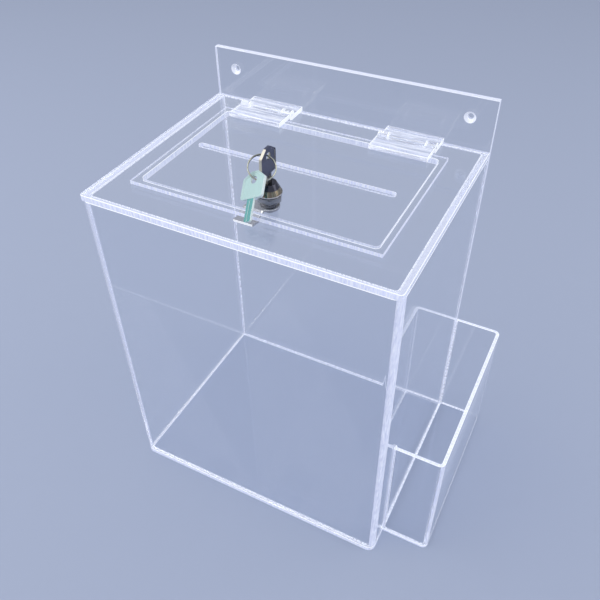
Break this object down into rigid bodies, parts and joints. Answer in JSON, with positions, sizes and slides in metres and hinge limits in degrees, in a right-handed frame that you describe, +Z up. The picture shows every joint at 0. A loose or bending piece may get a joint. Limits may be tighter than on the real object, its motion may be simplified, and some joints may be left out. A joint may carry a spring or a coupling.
{
  "type": "ballot box",
  "caption": "Tall clear acrylic ballot box with a slotted hinged lid, cam lock with keys, back plate with wall screw holes and an open side pocket for papers.",
  "frame": {"origin": "centre of the box's footprint, without the pocket, on the underside of the base", "axes": "+Z up, +Y towards the back plate and the wall, +X towards the side pocket"},
  "size_m": [0.292, 0.195, 0.352],
  "materials": {
    "thick_acrylic": "clear, polished edges",
    "thin_acrylic": "clear, sawn and polished edges",
    "hinge_plastic": "clear, moulded",
    "chrome": "bright plate",
    "nickel": "nickel plate",
    "steel": "zinc plated",
    "key_nickel": "nickel plate, pressed",
    "wafer_brass": "pressed"
  },
  "bodies": {
    "box": {"wall_wrap": "thick_acrylic", "base_panel": "thick_acrylic", "back_panel": "thick_acrylic", "top_panel": "thick_acrylic", "pocket_wrap": "thin_acrylic", "pocket_base": "thin_acrylic", "hinge_left_top_leaf": "hinge_plastic", "hinge_right_top_leaf": "hinge_plastic", "hinge_left_pins": "hinge_plastic", "hinge_right_pins": "hinge_plastic"},
    "lid": {"lid_panel": "thin_acrylic", "hinge_left_lid_leaf": "hinge_plastic", "hinge_right_lid_leaf": "hinge_plastic", "lock_housing": "chrome", "lock_washer": "steel", "lock_nut": "steel"},
    "plug": {"lock_plug": "nickel", "lock_wafers": "wafer_brass", "lock_wafer_springs": "steel", "stop_washer": "steel", "lock_cam": "nickel", "cam_washer": "steel", "cam_screw": "steel"},
    "key": {"lock_key": "key_nickel"},
    "ring": {"key_ring": "chrome"},
    "spare": {"spare_key": "key_nickel"}
  },
  "joints": [
    {"name": "lid_hinge", "type": "hinge", "parent": "box", "child": "lid", "pos_m": [0, 0.0725, 0.3146], "axis": [-1, 0, 0], "range_deg": [0, 115]},
    {"name": "plug_turn", "type": "hinge", "parent": "lid", "child": "plug", "pos_m": [0, -0.0375, 0.3131], "axis": [0, 0, 1], "range_deg": [-48, 42]},
    {"name": "key_slide", "type": "slide", "parent": "plug", "child": "key", "axis": [0, 0, 1], "range_m": [0, 0.015]},
    {"name": "ring_swing", "type": "hinge", "parent": "key", "child": "ring", "pos_m": [0, -0.03617, 0.34122], "axis": [-0.9343, -0.1243, 0.3342], "range_deg": [0, 180]},
    {"name": "spare_swing", "type": "hinge", "parent": "ring", "child": "spare", "pos_m": [-0.00096, -0.05339, 0.33213], "axis": [-0.9343, -0.1243, 0.3342], "range_deg": [0, 10]}
  ]
}
